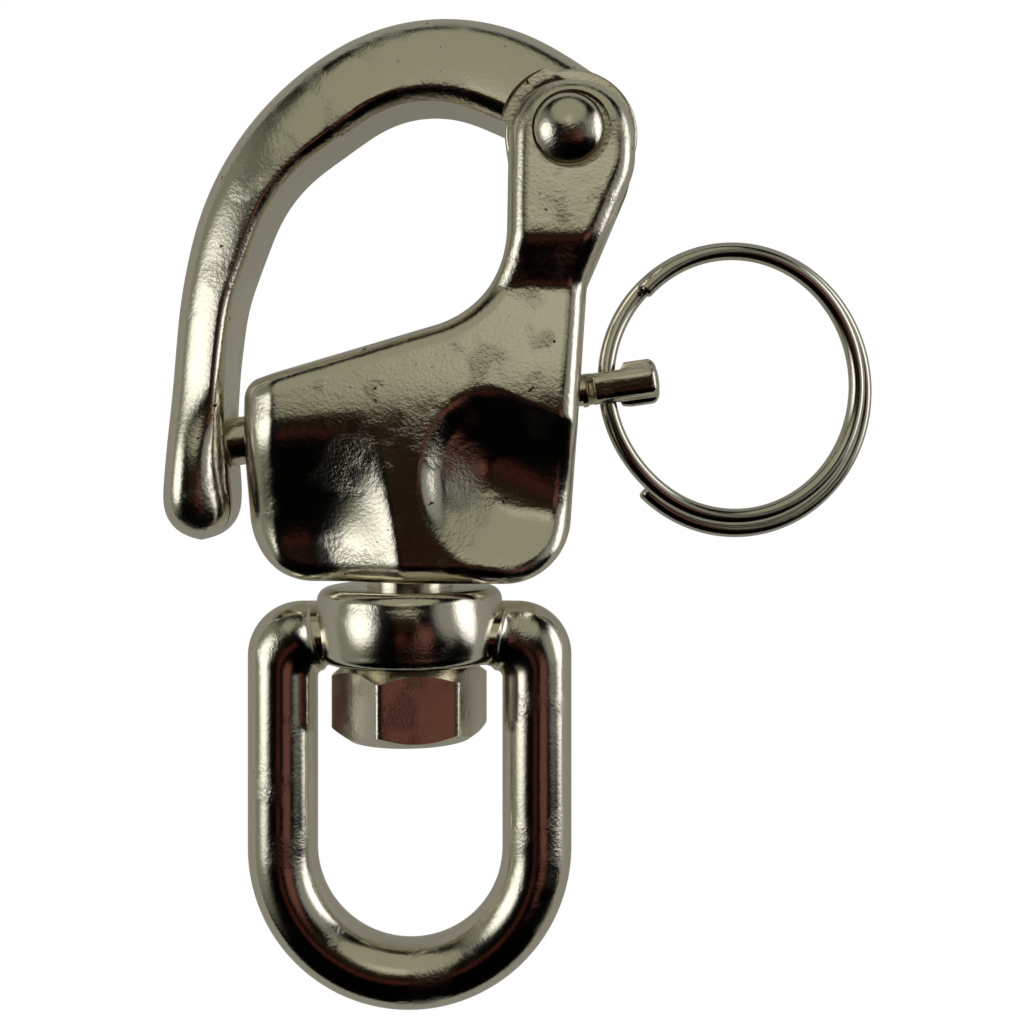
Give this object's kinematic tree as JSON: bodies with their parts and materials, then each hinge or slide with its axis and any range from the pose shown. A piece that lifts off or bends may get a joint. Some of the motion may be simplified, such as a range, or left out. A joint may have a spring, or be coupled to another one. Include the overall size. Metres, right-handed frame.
{
  "type": "snap shackle",
  "caption": "Swivel-eye snap shackle: a hinged jaw latched by a spring release pin with a split pull ring.",
  "frame": {"origin": "centre of the swivel eye's round end, on the swivel axis, in the shackle's middle plane", "axes": "+Y along the swivel axis from the eye towards the jaw, +X towards the pull ring, +Z out of the upper face as it lies flat"},
  "size_m": [0.052, 0.0702, 0.0134],
  "materials": {
    "cast_stainless": "polished cast",
    "turned_stainless": "polished",
    "spring_wire": "drawn"
  },
  "bodies": {
    "body": {"shackle_body": "cast_stainless", "jaw_rivet": "turned_stainless", "plunger_spring": "spring_wire", "swivel_bolt": "turned_stainless"},
    "jaw": {"jaw": "cast_stainless"},
    "plunger": {"plunger_pin": "turned_stainless"},
    "ring": {"split_ring": "turned_stainless"},
    "eye": {"swivel_bail": "cast_stainless"}
  },
  "joints": [
    {"name": "jaw_open", "type": "hinge", "parent": "body", "child": "jaw", "pos_m": [0.0114, 0.0499, 0], "axis": [0, 0, -1], "range_deg": [0, 105]},
    {"name": "plunger_pull", "type": "slide", "parent": "body", "child": "plunger", "axis": [0.9895, 0.1444, 0], "range_m": [-0.00045, 0.003], "stiffness_N_per_m": 1200, "springref_m": -0.0045, "deforming": ["plunger_spring"]},
    {"name": "ring_swing", "type": "hinge", "parent": "plunger", "child": "ring", "pos_m": [0.0139, 0.03253, 0], "axis": [0, 1, 0], "range_deg": [-90, 60]},
    {"name": "eye_swivel", "type": "hinge", "parent": "body", "child": "eye", "pos_m": [0, 0.015, 0], "axis": [0, 1, 0], "continuous": true}
  ]
}
